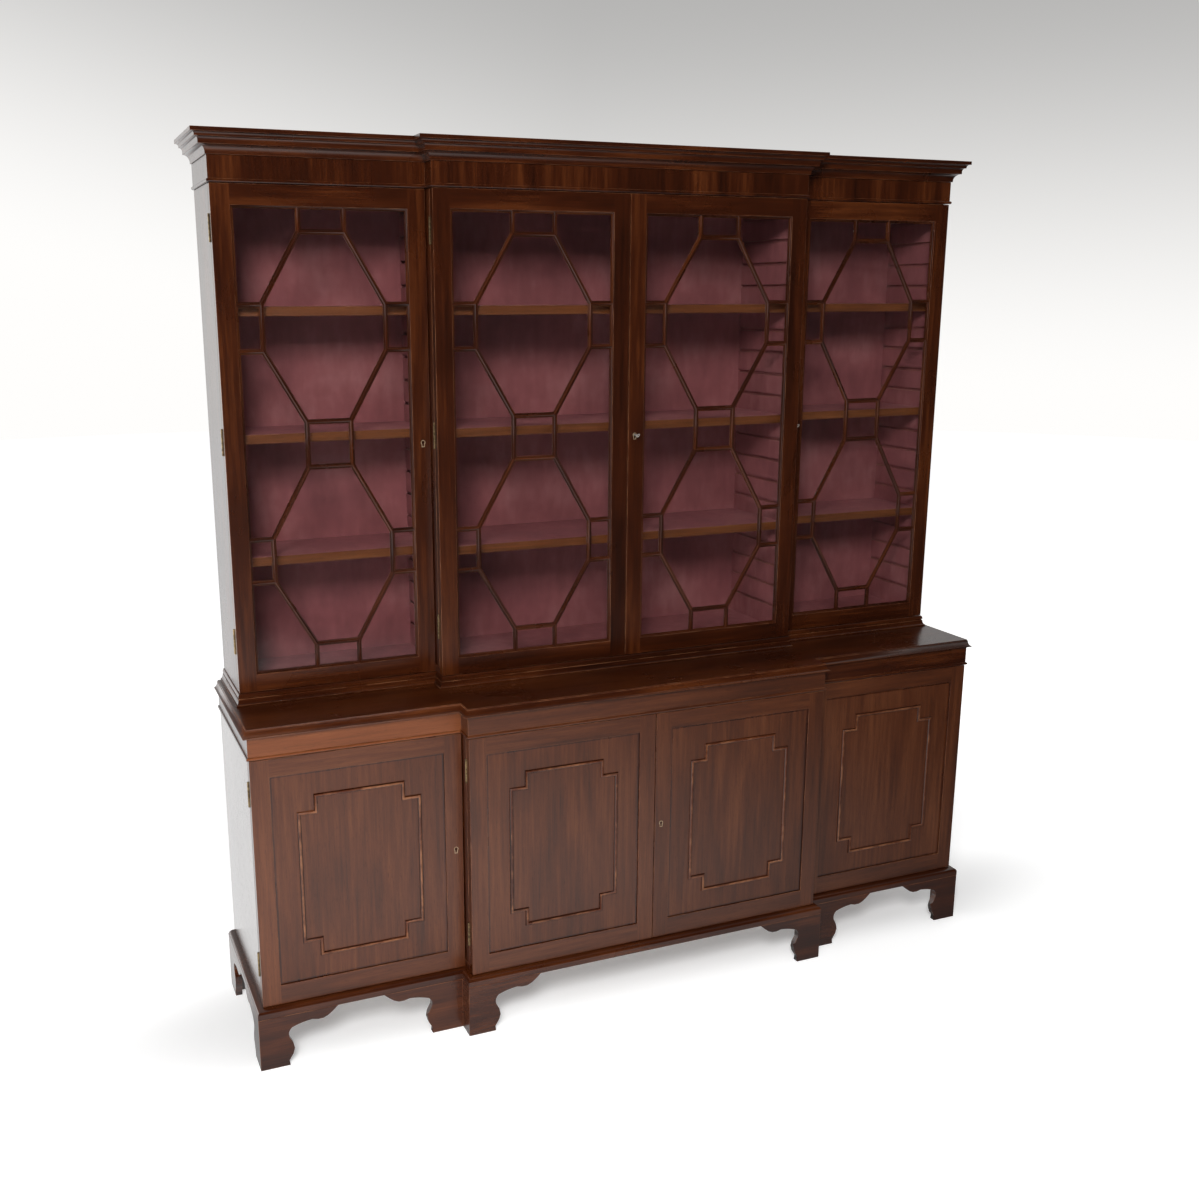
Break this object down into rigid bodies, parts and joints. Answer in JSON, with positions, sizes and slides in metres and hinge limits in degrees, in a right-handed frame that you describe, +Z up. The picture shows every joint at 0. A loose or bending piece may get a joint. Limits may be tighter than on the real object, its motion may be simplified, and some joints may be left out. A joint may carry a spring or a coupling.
{
  "type": "breakfront bookcase",
  "caption": "Tall wooden breakfront bookcase: glazed hinged doors with angular glazing bars over adjustable shelves, on a cupboard with hinged panelled doors and bracket feet.",
  "frame": {"origin": "on the floor under the middle of the bookcase, at the centre of its bounding box seen from above", "axes": "+X to the right seen from the front, +Y to the back, +Z up; the doors face -Y"},
  "size_m": [2.144, 0.509, 2.2377],
  "materials": {
    "mahogany": "dark mahogany under a worn satin polish",
    "mahogany_panel": "figured mahogany under a worn satin polish",
    "maroon_lining": "dusty matt maroon paint",
    "plain_wood": "unpolished",
    "steel": "dull, handled",
    "brass": "dull, unlacquered",
    "glass": "clear, thin"
  },
  "bodies": {
    "case": {"base_frame": "mahogany", "foot_wing_left": "mahogany", "foot_wing_right": "mahogany", "foot_rear_left": "mahogany", "foot_rear_right": "mahogany", "foot_break_left": "mahogany", "foot_break_right": "mahogany", "lower_side_left": "mahogany", "lower_side_right": "mahogany", "lower_partition_left": "mahogany", "lower_partition_right": "mahogany", "lower_bottom": "mahogany", "lower_back": "maroon_lining", "lower_frieze": "mahogany", "lower_top": "mahogany", "waist_moulding": "mahogany", "upper_side_left": "mahogany", "upper_side_right": "mahogany", "upper_partition_left": "mahogany", "upper_partition_right": "mahogany", "upper_bottom": "mahogany", "upper_back": "maroon_lining", "shelf_wing_left_1": "maroon_lining", "shelf_wing_left_2": "maroon_lining", "shelf_wing_left_3": "maroon_lining", "shelf_centre_1": "maroon_lining", "shelf_centre_2": "maroon_lining", "shelf_centre_3": "maroon_lining", "shelf_wing_right_1": "maroon_lining", "shelf_wing_right_2": "maroon_lining", "shelf_wing_right_3": "maroon_lining", "upper_frieze": "mahogany", "cornice": "mahogany", "upper_top": "plain_wood"},
    "upper_wing_door_left": {"upper_wing_door_left_frame": "mahogany", "upper_wing_door_left_glazing_bars": "mahogany", "upper_wing_door_left_glass": "glass"},
    "upper_centre_door_left": {"upper_centre_door_left_frame": "mahogany", "upper_centre_door_left_glazing_bars": "mahogany", "upper_centre_door_left_glass": "glass"},
    "upper_centre_door_right": {"upper_centre_door_right_frame": "mahogany", "upper_centre_door_right_glazing_bars": "mahogany", "upper_centre_door_right_glass": "glass"},
    "upper_wing_door_right": {"upper_wing_door_right_frame": "mahogany", "upper_wing_door_right_glazing_bars": "mahogany", "upper_wing_door_right_glass": "glass"},
    "lower_wing_door_left": {"lower_wing_door_left_frame": "mahogany", "lower_wing_door_left_panel": "mahogany_panel"},
    "lower_centre_door_left": {"lower_centre_door_left_frame": "mahogany", "lower_centre_door_left_panel": "mahogany_panel"},
    "lower_centre_door_right": {"lower_centre_door_right_frame": "mahogany", "lower_centre_door_right_panel": "mahogany_panel"},
    "lower_wing_door_right": {"lower_wing_door_right_frame": "mahogany", "lower_wing_door_right_panel": "mahogany_panel"},
    "upper_centre_key": {"upper_centre_door_right_key": "steel"},
    "upper_centre_bolt": {"upper_centre_door_right_bolt": "steel"},
    "upper_wing_key": {"upper_wing_door_right_key": "steel"},
    "upper_wing_bolt": {"upper_wing_door_right_bolt": "steel"}
  },
  "joints": [
    {"name": "upper_wing_door_left_hinge", "type": "hinge", "parent": "case", "child": "upper_wing_door_left", "pos_m": [-1.0335, 0.02925, 1.5204], "axis": [0, 0, -1], "range_deg": [0, 170]},
    {"name": "upper_centre_door_left_hinge", "type": "hinge", "parent": "case", "child": "upper_centre_door_left", "pos_m": [-0.5235, -0.02275, 1.5204], "axis": [0, 0, -1], "range_deg": [0, 170]},
    {"name": "upper_centre_door_right_hinge", "type": "hinge", "parent": "case", "child": "upper_centre_door_right", "pos_m": [0.5235, -0.02275, 1.5204], "axis": [0, 0, 1], "range_deg": [0, 95]},
    {"name": "upper_wing_door_right_hinge", "type": "hinge", "parent": "case", "child": "upper_wing_door_right", "pos_m": [1.0335, 0.02925, 1.5204], "axis": [0, 0, 1], "range_deg": [0, 170]},
    {"name": "lower_wing_door_left_hinge", "type": "hinge", "parent": "case", "child": "lower_wing_door_left", "pos_m": [-1.0505, -0.16275, 0.4853], "axis": [0, 0, -1], "range_deg": [0, 170]},
    {"name": "lower_centre_door_left_hinge", "type": "hinge", "parent": "case", "child": "lower_centre_door_left", "pos_m": [-0.5205, -0.21475, 0.4853], "axis": [0, 0, -1], "range_deg": [0, 170]},
    {"name": "lower_centre_door_right_hinge", "type": "hinge", "parent": "case", "child": "lower_centre_door_right", "pos_m": [0.5205, -0.21475, 0.4853], "axis": [0, 0, 1], "range_deg": [0, 170]},
    {"name": "lower_wing_door_right_hinge", "type": "hinge", "parent": "case", "child": "lower_wing_door_right", "pos_m": [1.0505, -0.16275, 0.4853], "axis": [0, 0, 1], "range_deg": [0, 170]},
    {"name": "upper_centre_key_turn", "type": "hinge", "parent": "upper_centre_door_right", "child": "upper_centre_key", "pos_m": [0.02, -0.0455, 1.51679], "axis": [0, -1, 0], "range_deg": [0, 90]},
    {"name": "upper_centre_bolt_slide", "type": "slide", "parent": "upper_centre_door_right", "child": "upper_centre_bolt", "axis": [-1, 0, 0], "range_m": [0, 0.009]},
    {"name": "upper_wing_key_turn", "type": "hinge", "parent": "upper_wing_door_right", "child": "upper_wing_key", "pos_m": [0.5445, 0.0065, 1.51679], "axis": [0, -1, 0], "range_deg": [0, 90]},
    {"name": "upper_wing_bolt_slide", "type": "slide", "parent": "upper_wing_door_right", "child": "upper_wing_bolt", "axis": [-1, 0, 0], "range_m": [0, 0.009]}
  ],
  "couplings": [
    {"joint": "upper_centre_key_turn", "follows": "upper_centre_bolt_slide", "rad_per_m": 174.53},
    {"joint": "upper_wing_key_turn", "follows": "upper_wing_bolt_slide", "rad_per_m": 174.53}
  ]
}
